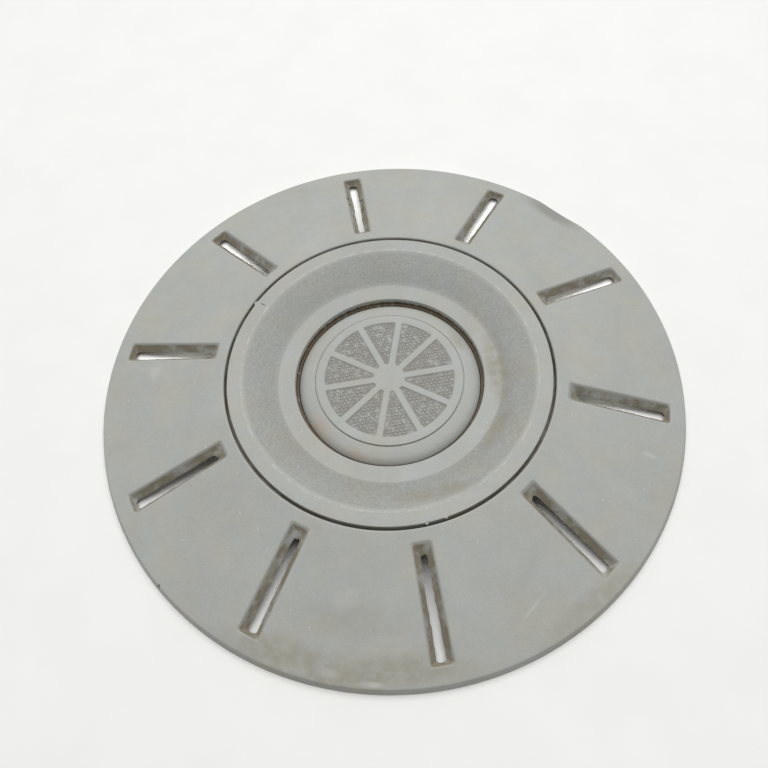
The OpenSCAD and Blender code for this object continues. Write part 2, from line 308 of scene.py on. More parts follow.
def scooped(points):
    """Points above the rim's foot lowered onto the scoop's ball where it lies below them,
    with a narrow soft blend: z becomes the smooth lesser of z and the ball's underside."""
    lift = SCOOP_BALL - SCOOP_DEPTH
    out = SCOOP_R + lift * math.sin(SLOPE)
    centre_z = face_z(SCOOP_R) + lift * math.cos(SLOPE)
    dx = points[..., 0] - out * math.cos(SCOOP_AT)
    dy = points[..., 1] - out * math.sin(SCOOP_AT)
    under = centre_z - np.sqrt(np.maximum(SCOOP_BALL ** 2 - dx ** 2 - dy ** 2, 0))
    z = points[..., 2]
    gap = under - z
    blend = 0.12
    lower = z + np.where(gap > blend, 0, np.where(gap < -blend, gap, -(blend - gap) ** 2 / (4 * blend)))
    points[..., 2] = np.where(z > RIM_H * 0.45, lower, z)
    return points


# What each slot shows: how ragged its back edge is, and how much flash its inner end has,
# in mm. The slots run anticlockwise from the one next to +X.
RAGGED = [0.06, 0.06, 0.22, 0.16, 0.08, 0.10, 0.22, 0.22, 0.06, 0.10]
FLASH = [0.2, 0.2, 0.5, 0.3, 0.3, 1.4, 1.2, 0.5, 0.4, 0.9]


def slot_sectors(shells, r_in, r_out):
    """Ten sectors of the flange, each one sheet that runs from the sector's border over
    the face, round the slot's lip, down its drafted wall, over the collar and back to the
    border on the underside. Points blend from the border to the slot's outline."""
    rng = np.random.default_rng(4)
    loop_count = 2 * LONG + ACROSS_IN + ACROSS_OUT + 4 * TURN
    waves = 0.6 * wander(rng, SLOTS, loop_count, 3) + 0.8 * wander(rng, SLOTS, loop_count, 9)
    ragged = np.array(RAGGED)[:, None] * np.abs(waves)
    inner_end = np.zeros(loop_count)
    inner_end[-(ACROSS_IN + TURN):] = 1
    inner_end = np.convolve(np.tile(inner_end, 3), np.hanning(9) / np.hanning(9).sum(), "same")
    inner_end = inner_end[loop_count:2 * loop_count]
    flash = np.array(FLASH)[:, None] * inner_end * (0.8 + 0.25 * waves)
    inward = ragged + np.maximum(flash, 0)

    rings = []

    def ring(plan, drop):
        """One ring of every sector: its plan and how far it lies below the face."""
        plan = np.broadcast_to(plan, (SLOTS, loop_count, 2))
        z = face_z(np.linalg.norm(plan, axis=-1)) - drop
        rings.append(np.concatenate([plan, z[..., None]], axis=-1))

    border = sector_loop(r_in, r_out)
    face, normal = slot_loop(0)
    lip = face + normal * SLOT_LIP
    for share in 1 - (1 - np.linspace(0, 1, 11)) ** 1.5:
        ring(border + (lip - border) * share, 0)
    for bend in np.radians([30, 60, 90]):
        depth = SLOT_LIP * (1 - math.cos(bend))
        plan, normal = slot_loop(depth / SLOT_DEPTH)
        ring(plan + normal * SLOT_LIP * (1 - math.sin(bend)), depth)
    for depth in np.linspace(SLOT_LIP, SLOT_DEPTH, 8)[1:]:
        t = depth / SLOT_DEPTH
        plan, normal = slot_loop(t)
        ring(plan - normal * (inward * smooth(t, 0.55, 1))[..., None], depth)
    plan, normal = slot_loop(1)
    ring(plan + normal * 0.25, SLOT_DEPTH + 0.1)
    ring(plan + normal * (COLLAR_W - 0.3), SLOT_DEPTH)
    ring(plan + normal * COLLAR_W, SLOT_DEPTH - 0.25)
    ring(plan + normal * (COLLAR_W + 0.05), FLANGE_V + 0.2)
    ring(plan + normal * (COLLAR_W + 0.3), FLANGE_V)
    collar = plan + normal * (COLLAR_W + 0.3)
    under = sector_loop(FINGER_OUT, FOOT_R)
    for share in np.linspace(0, 1, 5)[1:]:
        ring(collar + (under - collar) * share, FLANGE_V)

    sheets = np.stack(rings, axis=1)
    for k in range(SLOTS):
        shells.grid(scooped(turned(sheets[k], SLOT_AT + k * PITCH)), wrap_v=True)


def rim_and_mouth(shells):
    """Two turned bands that close the sectors into one shell: the rim with its foot, and
    the opening's edge with its wall and ledge, which has a window for each snap hook."""
    rim = outline((BORE_R, face_z(BORE_R)), (EDGE_R, RIM_H, RIM_ROUND), (RIM_R, 0, 0.2), (FOOT_R, 0, 0.2),
                  (FOOT_R, face_z(FOOT_R) - FLANGE_V))[1:]
    mouth = outline((EDGE_R, RIM_H), (BORE_R, face_z(BORE_R), BORE_ROUND), (BORE_R, LEDGE_Z))[1:]
    window_out, window_in = COVER_R - 0.4, COVER_R - 4.0
    bottom = LEDGE_Z - LEDGE_T
    ledge = np.array([(window_out, LEDGE_Z), (window_in, LEDGE_Z), (LEDGE_IN, LEDGE_Z),
                      (LEDGE_IN, bottom), (window_in, bottom), (window_out, bottom),
                      (FINGER_OUT, bottom), (FINGER_OUT, face_z(FINGER_OUT) - FLANGE_V)])
    mouth = np.concatenate([mouth, ledge])
    out_count = SLOTS * (ACROSS_OUT + 2 * TURN)
    in_count = SLOTS * (ACROSS_IN + 2 * TURN)
    out_angles = np.arange(out_count) * 360 / out_count
    in_angles = np.arange(in_count) * 360 / in_count
    shells.grid(scooped(around(rim, out_angles)), wrap_u=True)

    band = around(mouth, in_angles)
    half_window = 4
    step = np.arange(in_count)
    spacing = in_count // HOOKS
    in_window = (step % spacing < half_window) | (step % spacing >= spacing - half_window)
    first = len(mouth) - len(ledge)
    keep = np.ones((in_count, len(mouth) - 1), bool)
    keep[in_window, first] = False
    keep[in_window, first + 4] = False
    shells.grid(band, wrap_u=True, keep=keep)
    for k in range(HOOKS):
        rows = (np.arange(-half_window, half_window + 1) + k * spacing) % in_count
        top_out, top_in, low_in, low_out = (band[rows, first + c] for c in (0, 1, 4, 5))
        shells.grid(np.stack([top_out, low_out]))
        shells.grid(np.stack([top_in, low_in]))
        for side in (0, -1):
            top = np.stack([top_out[side], top_in[side]])
            shells.grid(np.stack([top, np.stack([low_out[side], low_in[side]])]))
    return rim[0, 0], mouth[0, 0]


def fingers(shells):
    """Ten spring fingers: an outer face with its catch and an inner face with its lip and
    nub, both carried round 28 degrees at matching heights."""
    top = LEDGE_Z - LEDGE_T + 1
    out_r, in_r = FINGER_OUT, BORE_R
    nub = WIRE_Z + WIRE_D / 2 + 0.05
    outer = np.array([(out_r - 0.8, TIP_Z), (out_r - 0.4, TIP_Z + 0.3),
                      (out_r + CATCH - 0.2, TIP_Z + CATCH + 0.6),
                      (out_r + CATCH, TIP_Z + CATCH + 0.8), (out_r + CATCH, TIP_Z + CATCH + 1.3),
                      (out_r + 0.2, nub - 0.2), (out_r, nub), (out_r, nub + 0.7), (out_r, nub + 0.8),
                      (out_r, nub + 1.5), (out_r, top)])
    inner = np.array([(in_r - 1.9, TIP_Z), (in_r - 1.9, TIP_Z + 0.8), (in_r, TIP_Z + 0.8),
                      (in_r, TIP_Z + 1.6), (in_r, nub - 0.6), (in_r, nub - 0.2), (in_r, nub),
                      (in_r - 0.7, nub + 0.7), (in_r - 0.7, nub + 0.8), (in_r, nub + 1.5), (in_r, top)])
    half = FINGER_ARC / 2
    angles = np.concatenate([[-half], np.linspace(-half + 0.2, half - 0.2, 15), [half]])
    ease = np.where(np.abs(angles) == half, 0.15, 0)[:, None, None]
    mid = around((outer + inner) / 2, angles)
    front, back = around(outer, angles), around(inner, angles)
    front, back = front + (mid - front) * ease, back + (mid - back) * ease
    for k in range(SLOTS):
        shift = SLOT_AT + k * PITCH
        shells.slab(turned(front, shift), turned(back, shift))


def standing_plate(shells, path, low, high, thickness, ease, degrees):
    """Flat plate along a radius between two heights given at each r of its path; its lower
    edge is eased: the two sides close in by ease over the last stretch."""
    levels = np.array([0, ease, ease + 0.01, 1])
    low, high = np.asarray(low, float)[:, None], np.asarray(high, float)[:, None]
    rise = np.where(levels < 1, low + levels, high)
    half = thickness / 2 - ease * np.array([1, 0, 0, 0])
    x = np.asarray(path, float)[:, None] + 0 * rise
    sides = [np.stack([x, sign * half + 0 * rise, rise], axis=-1) for sign in (1, -1)]
    shells.slab(*(turned(side, degrees) for side in sides))


def ribs(shells):
    """Ten radial ribs under the flange, cut off level above the rim's foot."""
    r = np.linspace(FINGER_OUT - 1, FOOT_R + 1, 12)
    under = face_z(r) - FLANGE_V
    for k in range(SLOTS):
        standing_plate(shells, r, np.maximum(under - RIB_H, TIP_Z), under + 1, RIB_T, 0.25,
                       SLOT_AT + (k + 0.5) * PITCH)


def outer_ring(material):
    """The slotted ring with its rim, opening, ledge, fingers and ribs."""
    shells = Shells()
    r_out, r_in = rim_and_mouth(shells)
    slot_sectors(shells, r_in, r_out)
    fingers(shells)
    ribs(shells)
    return shells.make("slotted_ring", material, "grey_plastic", "outer_ring")


# Burrs left by a tool on the cover's edge: direction in degrees, reach and width in mm
BURRS = [(140.0, 1.05, 0.9), (272.8, 1.0, 0.6), (279.3, 0.6, 0.5)]


def centre_cover(material):
    """The dished cover, its outline carried round the axis, with gussets and snap hooks."""
    shells = Shells()
    inner_land = (DISH_TOP_R + 1.2, LAND_Z - COVER_WALL)
    inner_dish = (DISH_R + 1.2, DISH_Z - COVER_WALL, 4)
    inner_cup = (CUP_R, RECESS_Z - COVER_WALL)
    path = outline(
        (SKIRT_IN, LEDGE_Z), (COVER_R, LEDGE_Z), (COVER_R, LAND_Z, 0.35),
        (DISH_TOP_R, LAND_Z, 1.5), (DISH_R, DISH_Z, 8), (RECESS_R, RECESS_Z, 0.5),
        (RECESS_FOOT, POCKET_Z, 0.2), (POCKET_R, POCKET_Z, 0.15), (POCKET_R, SEAT_Z), (0, SEAT_Z),
        (0, CUP_Z), (CUP_R - 1.2, CUP_Z, 1), inner_cup, inner_dish, inner_land,
        (SKIRT_IN, LAND_Z - COVER_WALL), (SKIRT_IN, LEDGE_Z))
    path = divided(path[:-1], 3.0)
    fine = np.arange(-2, 2.01, 0.2)
    angles = np.unique(np.round(np.concatenate(
        [np.arange(360)] + [at + fine for at, reach, width in BURRS]), 3) % 360)
    body = around(path, angles)
    near_edge = smooth(path[:, 0], COVER_R - 1.2, COVER_R - 0.2)
    near_edge = near_edge * smooth(path[:, 1], LAND_Z - 2.2, LAND_Z - 0.6)
    for at, reach, width in BURRS:
        off = (angles - at + 180) % 360 - 180
        push = reach * np.exp(-(off * math.radians(1) * COVER_R / width) ** 2)[:, None] * near_edge[None]
        body[..., :2] *= 1 + (push / COVER_R)[..., None]
    shells.grid(body, wrap_u=True, wrap_v=True)

    hook_out, hook_in = COVER_R - 1.6, COVER_R - 3.6
    barb = LEDGE_Z - LEDGE_T - 0.05
    levels = np.array([(hook_out, barb - 1.8), (COVER_R + 0.4, barb - 0.5), (COVER_R + 0.4, barb),
                       (hook_out, barb), (hook_out, LAND_Z - COVER_WALL / 2)])
    across = np.linspace(-HOOK_W / 2, HOOK_W / 2, 4)
    for k in range(HOOKS):
        front = np.stack([np.stack([levels[:, 0], 0 * levels[:, 0] + y, levels[:, 1]], axis=-1)
                          for y in across])
        back = front.copy()
        back[..., 0] = hook_in
        shells.slab(turned(front, k * 360 / HOOKS), turned(back, k * 360 / HOOKS))
    r = np.array([CUP_R - 2.2, CUP_R, 49.4, 55, LEDGE_IN - 1])
    low = np.interp(r, [CUP_R, LEDGE_IN - 1], [CUP_Z + 2.7, LEDGE_Z - LEDGE_T + 1])
    high = np.interp(r, [CUP_R, DISH_R, LEDGE_IN - 1], [RECESS_Z - 1.2, DISH_Z - 1.2, LAND_Z - 1.8])
    for k in range(SLOTS):
        standing_plate(shells, r, low, high, 1.6, 0.2, SLOT_AT + k * PITCH)
    return shells.make("dished_cover", material, "grey_plastic", "centre_cover")


def field_angle(r, half_width):
    """Half angle left of a sector at radius r, once a bar of that half width is taken off."""
    return math.radians(PITCH / 2) - np.arcsin(np.clip(half_width / np.maximum(r, HUB_R * 0.9), 0, 1))


def disc_face(shells, rim_point):
    """Top of the badge's disc: ten sunk fields between plain bars. Each sector is a grid
    whose columns keep a fixed distance from the bars, and whose height drops by the
    product of two smooth steps, across the bars and along the radius."""
    wall = 0.28
    steps = np.linspace(0, 1, 6)
    r = np.concatenate([np.linspace(0, HUB_R - wall, 6), HUB_R - wall + steps[1:] * 2 * wall,
                        np.linspace(HUB_R + wall, FIELD_OUT - wall, 26)[1:-1],
                        FIELD_OUT - wall + steps * 2 * wall, [30.4, rim_point[0]]])
    along = smooth(r, HUB_R - wall, HUB_R + wall) * (1 - smooth(r, FIELD_OUT - wall, FIELD_OUT + wall))
    offsets = BAR_HALF - wall + steps * 2 * wall
    rr = r[:, None]
    near_bar = field_angle(rr, np.concatenate([[0.0, BAR_HALF / 2], offsets])[None])
    inner = near_bar[:, -1:] * np.linspace(1, 0, 7)[None, 1:]
    half = np.concatenate([near_bar, inner], axis=1)
    across = np.concatenate([[0, 0], smooth(offsets, offsets[0], offsets[-1]), np.ones(6)])
    angle = np.concatenate([half, -half[:, -2::-1]], axis=1)
    drop = np.concatenate([across, across[-2::-1]])[None] * along[:, None]
    z = BADGE_TOP - FIELD_D * drop
    z[-1] = rim_point[1]
    sheet = np.stack([rr * np.cos(angle), rr * np.sin(angle), z], axis=-1)
    for k in range(SLOTS):
        shells.grid(turned(sheet, SLOT_AT + k * PITCH))


def dots(shells):
    """Low round dots in staggered rows on the floors of the fields: each is a closed dome
    of the form z = h cos(b), r = r0 sin(b), with its foot sunk in the floor."""
    gap, radius, height = 1.75, 0.5, 0.34
    rng = np.random.default_rng(9)
    u, v = np.meshgrid(np.arange(-20, 21), np.arange(-20, 21))
    x, y = (gap * (u + 0.5 * (v % 2))).ravel(), (gap * 0.866 * v).ravel()
    r, a = np.hypot(x, y), np.degrees(np.arctan2(y, x))
    inside = (r > HUB_R + 2.2) & (r < FIELD_OUT - 0.95)
    from_mid = np.radians(np.abs((a - SLOT_AT + PITCH / 2) % PITCH - PITCH / 2))
    to_bar = r * np.sin(math.radians(PITCH / 2) - from_mid)
    inside &= to_bar > BAR_HALF + 0.95
    x, y = x[inside], y[inside]
    rise = np.radians(np.array([125, 90, 62, 35, 10]))
    turn = np.radians(np.arange(9) * 40)
    size = rng.uniform(0.86, 1.08, len(x))
    low = rng.uniform(0.75, 1.1, len(x))
    dome = np.stack([np.sin(rise)[:, None] * np.cos(turn), np.sin(rise)[:, None] * np.sin(turn),
                     np.cos(rise)[:, None] + 0 * turn], axis=-1)
    floor = BADGE_TOP - FIELD_D
    for px, py, s, h in zip(x, y, size, low):
        bump = dome * np.array([radius * s, radius * s, height * h]) + np.array([px, py, floor])
        shells.grid(bump, wrap_v=True)
        for end in (0, -1):
            middle = bump[end].mean(axis=0)
            shells.grid(np.stack([bump[end], np.broadcast_to(middle, bump[end].shape)]), wrap_v=True)


def centre_badge(material):
    """The badge: edge, rounded shoulder, sloped ring, groove and disc, and its studs."""
    shells = Shells()
    inner_r, inner_z = BADGE_R - BADGE_WALL, BADGE_TOP - BADGE_WALL
    groove_z = BADGE_TOP - 0.45 - 0.6
    bulge = np.linspace(0, 1, 9)[:, None]
    start, end = np.array([BADGE_R, SEAT_Z + BADGE_EDGE]), np.array([SHOULDER_R, SHOULDER_Z])
    away = np.array([end[1] - start[1], start[0] - end[0]]) / np.linalg.norm(end - start)
    shoulder = start + (end - start) * bulge + away * 0.35 * 4 * bulge * (1 - bulge)
    body = outline(
        (SHOULDER_R, SHOULDER_Z), (GROOVE_R, SHOULDER_Z + 1.1, 0.12), (GROOVE_R, groove_z, 0.1),
        (DISC_R, groove_z, 0.1), (DISC_R, BADGE_TOP, 0.22), (30.4, BADGE_TOP), steps=3)[:-1]
    back = outline((0, inner_z), (DISC_R - BADGE_WALL, inner_z), (inner_r - 1.2, SHOULDER_Z - BADGE_WALL),
                   (inner_r, SEAT_Z + BADGE_EDGE), (inner_r, SEAT_Z), (BADGE_R, SEAT_Z))
    edge_r = body[-1][0]
    spots = field_angle(np.array([[edge_r]]), np.concatenate([
        [0.0, BAR_HALF / 2], BAR_HALF - 0.28 + np.linspace(0, 1, 6) * 0.56])[None])
    half = np.concatenate([spots[0], spots[0, -1] * np.linspace(1, 0, 7)[1:]])
    sector = np.degrees(np.concatenate([half, -half[-2::-1]]))[::-1]
    angle = np.concatenate([sector[:-1] + SLOT_AT + k * PITCH for k in range(SLOTS)])
    shells.grid(around(np.concatenate([back, shoulder, body[1:]]), angle), wrap_u=True)
    disc_face(shells, body[-1])
    dots(shells)

    head = np.array([(0, CUP_Z - 1.0), (3.1, CUP_Z - 1.0), (3.5, CUP_Z - 0.6), (3.5, CUP_Z),
                     (STUD_R, CUP_Z), (STUD_R, inner_z + 1), (0, inner_z + 1)])
    for k in range(4):
        stud = around(head, np.arange(0, 360, 11.25))
        a = math.radians(45 + 90 * k)
        stud = stud + np.array([STUD_RING * math.cos(a), STUD_RING * math.sin(a), 0])
        shells.grid(stud, wrap_u=True)
    return shells.make("round_badge", material, "grey_plastic", "centre_badge")


def sprung_wire(material):
    """Open ring of round wire: a circle of points carried along an arc, whose radius
    closes to nothing over the last half millimetre at each end, as a sheared end does."""
    shells = Shells()
    gap = WIRE_GAP / 2
    mid = SLOT_AT + 90
    ends = np.array([0, 0, 0.1, 0.3])
    angles = np.concatenate([mid + gap + ends, np.linspace(mid + gap + 1.5, mid + 360 - gap - 1.5, 236),
                             mid + 360 - gap - ends[::-1]])
    shrink = np.ones(len(angles))
    shrink[:3] = shrink[:-4:-1] = 0, 0.82, 0.96
    turn = np.linspace(0, 2 * math.pi, 16, endpoint=False)
    r = WIRE_R + WIRE_D / 2 * shrink[:, None] * np.cos(turn)
    z = WIRE_Z + WIRE_D / 2 * shrink[:, None] * np.sin(turn)
    a = np.radians(angles)[:, None]
    shells.grid(np.stack([r * np.cos(a), r * np.sin(a), z], axis=-1), wrap_v=True)
    return shells.make("sprung_wire", material, "spring_steel", "retaining_ring")


class Tree:
    """Short ways to add and join nodes in one shader tree."""

    def __init__(self, tree):
        self.tree = tree
        tree.nodes.clear()

    def put(self, socket, value):
        """Links a socket, or sets the number or colour on it."""
        if isinstance(value, bpy.types.NodeSocket):
            self.tree.links.new(value, socket)
        else:
            socket.default_value = value

    def add(self, kind, settings=None, **inputs):
        """New node with its settings and its inputs, where _ in an input's name is a space."""
        node = self.tree.nodes.new("ShaderNode" + kind)
        for name, value in (settings or {}).items():
            setattr(node, name, value)
        for name, value in inputs.items():
            self.put(node.inputs[name.replace("_", " ")], value)
        return node

    def math(self, operation, *values):
        """Result of a Math node."""
        node = self.add("Math", {"operation": operation})
        for socket, value in zip(node.inputs, values):
            self.put(socket, value)
        return node.outputs[0]

    def blend(self, factor, a, b, kind="MIX"):
        """Colour a blended with b by the factor."""
        node = self.add("Mix", {"data_type": "RGBA", "blend_type": kind})
        for index, value in ((0, factor), (6, a), (7, b)):
            self.put(node.inputs[index], value)
        return node.outputs[2]

    def step(self, value, low, high, start=0.0, end=1.0):
        """Smooth step of a value from start at low to end at high."""
        node = self.add("MapRange", {"interpolation_type": "SMOOTHSTEP"})
        for name, number in (("Value", value), ("From Min", low), ("From Max", high),
                             ("To Min", start), ("To Max", end)):
            self.put(node.inputs[name], number)
        return node.outputs[0]

    def noise(self, vector, size, detail=3.0, rough=0.55, kind="Fac"):
        """Noise whose lumps measure about size in mm."""
        node = self.add("TexNoise", Vector=vector, Scale=1 / (size * MM), Detail=detail, Roughness=rough)
        return node.outputs[kind]


def group(name, inputs, outputs):
    """Empty shader group with named sockets; returns its tree helper, its input sockets
    and a function that feeds its outputs."""
    tree = bpy.data.node_groups.new(name, "ShaderNodeTree")
    kinds = {float: "NodeSocketFloat", tuple: "NodeSocketColor", list: "NodeSocketVector"}
    for title, value in inputs.items():
        socket = tree.interface.new_socket(title, in_out="INPUT", socket_type=kinds[type(value)])
        socket.default_value = value
    for title, kind in outputs.items():
        tree.interface.new_socket(title, in_out="OUTPUT", socket_type=kinds[kind])
    helper = Tree(tree)
    source = tree.nodes.new("NodeGroupInput")
    sink = tree.nodes.new("NodeGroupOutput")

    def give(**results):
        for title, value in results.items():
            helper.put(sink.inputs[title.replace("_", " ")], value)
    return helper, source.outputs, give


def use(tree, name, **inputs):
    """Places a group in a tree with its own values and returns its output sockets."""
    node = tree.tree.nodes.new("ShaderNodeGroup")
    node.node_tree = bpy.data.node_groups[name]
    for title, value in inputs.items():
        tree.put(node.inputs[title.replace("_", " ")], value)
    return node.outputs


def cap_places_group():
    """Radius and height of a point of the cap, in mm, from its own coordinates."""
    t, given, give = group("cap places", {"Vector": [0.0, 0.0, 0.0]}, {"Radius": float, "Height": float})
    parts = t.add("SeparateXYZ", Vector=given["Vector"])
    flat = t.add("CombineXYZ", X=parts.outputs["X"], Y=parts.outputs["Y"])
    radius = t.add("VectorMath", {"operation": "LENGTH"})
    t.put(radius.inputs[0], flat.outputs[0])
    give(Radius=t.math("MULTIPLY", radius.outputs["Value"], 1 / MM),
         Height=t.math("MULTIPLY", parts.outputs["Z"], 1 / MM))


def moulded_grain_group():
    """Grey plastic as moulded and aged: cloudy patches that turn a little greener or
    bluer, fine grain, pale specks, and the height of the grain."""
    t, given, give = group("moulded grain", {
        "Vector": [0.0, 0.0, 0.0], "Colour": (0.4, 0.4, 0.4, 1.0), "Cloud": 0.12, "Grain": 0.1,
        "Specks": 0.5}, {"Colour": tuple, "Height": float})
    vector, colour = given["Vector"], given["Colour"]
    cloud = t.noise(vector, 26, 5, 0.62)
    patch = t.noise(vector, 7, 4, 0.6)
    fine = t.noise(vector, 0.7, 2, 0.7)
    shade = t.math("ADD", t.math("MULTIPLY", t.math("SUBTRACT", cloud, 0.5), 1.0),
                   t.math("MULTIPLY", t.math("SUBTRACT", patch, 0.5), 0.5))
    shade = t.math("MULTIPLY_ADD", shade, given["Cloud"], 1.0)
    shade = t.math("MULTIPLY_ADD", t.math("SUBTRACT", fine, 0.5), given["Grain"], shade)
    tinted = t.blend(t.step(t.noise(vector, 15, 4, 0.6), 0.35, 0.65),
                     t.blend(1.0, colour, (1.01, 1.0, 0.955, 1.0), "MULTIPLY"),
                     t.blend(1.0, colour, (0.985, 1.0, 1.015, 1.0), "MULTIPLY"))
    grey = t.add("CombineXYZ", X=shade, Y=shade, Z=shade)
    tinted = t.blend(1.0, tinted, grey.outputs[0], "MULTIPLY")
    cells = t.add("TexVoronoi", Vector=vector, Scale=1 / (3.1 * MM))
    chosen = t.add("SeparateColor", Color=cells.outputs["Color"])
    dot = t.math("MULTIPLY", t.step(cells.outputs["Distance"], 0.05, 0.11, 1.0, 0.0),
                 t.step(chosen.outputs["Red"], 0.80, 0.84))
    dot = t.math("MULTIPLY", dot, given["Specks"])
    give(Colour=t.blend(dot, tinted, (0.72, 0.72, 0.69, 1.0)),
         Height=t.math("ADD", fine, t.math("MULTIPLY", dot, 0.6)))


def soil_group():
    """Dirt or wear laid over a colour: the amount is broken up by noise at two sizes, so
    that a soft mask becomes patches with ragged edges."""
    t, given, give = group("soil", {
        "Vector": [0.0, 0.0, 0.0], "Colour": (0.4, 0.4, 0.4, 1.0), "Soil": (0.1, 0.08, 0.05, 1.0),
        "Amount": 0.5, "Patch": 4.0}, {"Colour": tuple, "Mask": float})
    scaled = t.add("VectorMath", {"operation": "SCALE"})
    t.put(scaled.inputs[0], given["Vector"])
    t.put(scaled.inputs["Scale"], t.math("DIVIDE", 4.0, given["Patch"]))
    broken = t.noise(scaled.outputs[0], 4, 6, 0.65)
    level = t.math("SUBTRACT", 1.0, given["Amount"])
    mask = t.step(t.math("SUBTRACT", broken, t.math("MULTIPLY_ADD", level, 0.7, 0.08)), 0.0, 0.22)
    mask = t.math("MULTIPLY", mask, t.step(given["Amount"], 0.0, 0.12))
    give(Colour=t.blend(mask, given["Colour"], given["Soil"]), Mask=mask)


def stain_group():
    """Mask of one soft-edged elliptical patch: centre, half lengths in mm and turn."""
    t, given, give = group("stain", {
        "Vector": [0.0, 0.0, 0.0], "Centre": [0.0, 0.0, 0.0], "Size": [10.0, 10.0, 1.0],
        "Turn": [0.0, 0.0, 0.0]}, {"Mask": float})
    scale = t.add("VectorMath", {"operation": "SCALE"}, Scale=1 / MM)
    t.put(scale.inputs[0], given["Vector"])
    place = t.add("Mapping", {"vector_type": "TEXTURE"}, Vector=scale.outputs[0], Location=given["Centre"],
                  Rotation=given["Turn"], Scale=given["Size"])
    parts = t.add("SeparateXYZ", Vector=place.outputs[0])
    flat = t.add("CombineXYZ", X=parts.outputs["X"], Y=parts.outputs["Y"])
    reach = t.add("VectorMath", {"operation": "LENGTH"})
    t.put(reach.inputs[0], flat.outputs[0])
    give(Mask=t.step(reach.outputs["Value"], 0.25, 1.0, 1.0, 0.0))


def band(t, radius, low, high, soft):
    """Mask of a ring-shaped band between two radii, with soft edges, in mm."""
    return t.math("MULTIPLY", t.step(radius, low - soft, low + soft),
                  t.step(radius, high - soft, high + soft, 1.0, 0.0))


def start_material(name):
    """New material: its tree helper, its own coordinates, and the cap's radius and height."""
    material = bpy.data.materials.new(name)
    material.use_nodes = True
    t = Tree(material.node_tree)
    own = t.add("TexCoord").outputs["Object"]
    places = use(t, "cap places", Vector=own)
    return material, t, own, places["Radius"], places["Height"]


def finish_material(t, colour, height, roughness, depth, distance):
    """Principled surface with that colour, roughness and bump."""
    bump = t.add("Bump", Strength=depth, Distance=distance * MM, Height=height)
    shader = t.add("BsdfPrincipled", Base_Color=colour, Roughness=roughness, Normal=bump.outputs[0])
    shader.inputs["Specular IOR Level"].default_value = 0.35
    sink = t.add("OutputMaterial")
    t.tree.links.new(shader.outputs[0], sink.inputs["Surface"])


def lay_stains_and_shade(t, own, colour, stains_and_shade):
    """Lays each stain and each patch of painted shade (x, y, half length, half width, turn,
    colour, amount) over the colour: an ellipse with soft edges, thinned by noise except for SHADE."""
    thinned = t.step(t.noise(own, 5, 5, 0.65), 0.3, 0.62, 0.3, 1.0)
    for x, y, long_half, short_half, turn, soil, amount in stains_and_shade:
        mask = use(t, "stain", Vector=own, Centre=(x, y, 0), Size=(long_half, short_half, 1),
                   Turn=(0, 0, math.radians(turn)))["Mask"]
        share = t.math("MULTIPLY", mask, amount)
        if soil != "SHADE":
            share = t.math("MULTIPLY", share, thinned)
        colour = t.blend(share, colour, SOILS_AND_SHADES[soil])
    return colour


BASE_GREY = (0.418, 0.424, 0.400, 1.0)
BROWN = (0.115, 0.085, 0.052, 1.0)
TAN = (0.26, 0.235, 0.175, 1.0)
# Painted shade: near-black spots for hollows, the pits, a notch and nicks that are not modelled.
SOOT = (0.03, 0.028, 0.024, 1.0)
BEIGE = (0.43, 0.36, 0.29, 1.0)
OLIVE = (0.27, 0.245, 0.165, 1.0)
PALE = (0.52, 0.52, 0.49, 1.0)


# Stains and painted shade: centre x and y, half length, half width and turn in degrees, colour and amount
RING_STAINS_AND_SHADE = [
    # The first four entries are olive dirt that also darkens the near rim as painted shade.
    (-54, -110, 46, 10, -26, "OLIVE", 0.50), (-14, -120, 34, 8, -7, "OLIVE", 0.45),
    (60, -108, 34, 6, 29, "OLIVE", 0.35), (-30, -100, 26, 9, -16, "OLIVE", 0.22),
    (-102.5, 22.1, 7, 4, 80, "PALE", 0.62), (99.2, -54.3, 4.5, 1.6, -30, "PALE", 0.85),
    (37.6, -105.7, 9.5, 1.1, 39, "PALE", 0.70), (-32, -92, 8, 5, 10, "PALE", 0.45),
    (-27, -122.6, 7, 1.6, -12, "PALE", 0.80), (-42, -116, 6, 2.5, -20, "PALE", 0.5),
    # The near-black spots from here on are painted shade: a notch in the rim, then pits on a slot's wall.
    (-104.6, -72.6, 1.3, 0.8, 35, "SOOT", 1.0), (-3.9, 106.0, 1.3, 0.9, 80, "SOOT", 1.0),
    (2.9, 104.1, 1.2, 0.9, 80, "SOOT", 1.0), (2.4, 97.0, 1.3, 0.8, 90, "SOOT", 1.0),
    # The SHADE entry is painted shade that fills the scoop at the rim.
    (-3.4, 101.5, 1.1, 0.7, 90, "SOOT", 1.0), (95.5, 80.2, 21, 7.5, 130, "SHADE", 0.66),
]
COVER_STAINS_AND_SHADE = [
    (47, -4, 27, 6.5, 88, "OLIVE", 0.62), (10, -57, 24, 5, 0, "OLIVE", 0.50),
    # The near-black spots are painted shade: nicks at two burrs on the cover's edge.
    (40, -33, 16, 5, 50, "OLIVE", 0.50), (-50.6, 43.7, 2.2, 0.5, -41, "SOOT", 0.9),
    (3.4, -69.6, 1.6, 0.5, 20, "SOOT", 0.8),
]
BADGE_STAINS = [
    (-33.0, -17.5, 10, 4.5, 118, "BEIGE", 0.75), (-20, -32, 9, 3, -32, "BEIGE", 0.45),
    (33, 14, 8, 3, 113, "OLIVE", 0.4),
]
# Painted shade, laid over the scoop at the rim.
SHADE = (0.24, 0.24, 0.22, 1.0)
# Colours of soil and of the two painted shades.
SOILS_AND_SHADES = {"OLIVE": OLIVE, "SHADE": SHADE, "PALE": PALE, "SOOT": SOOT, "BEIGE": BEIGE}


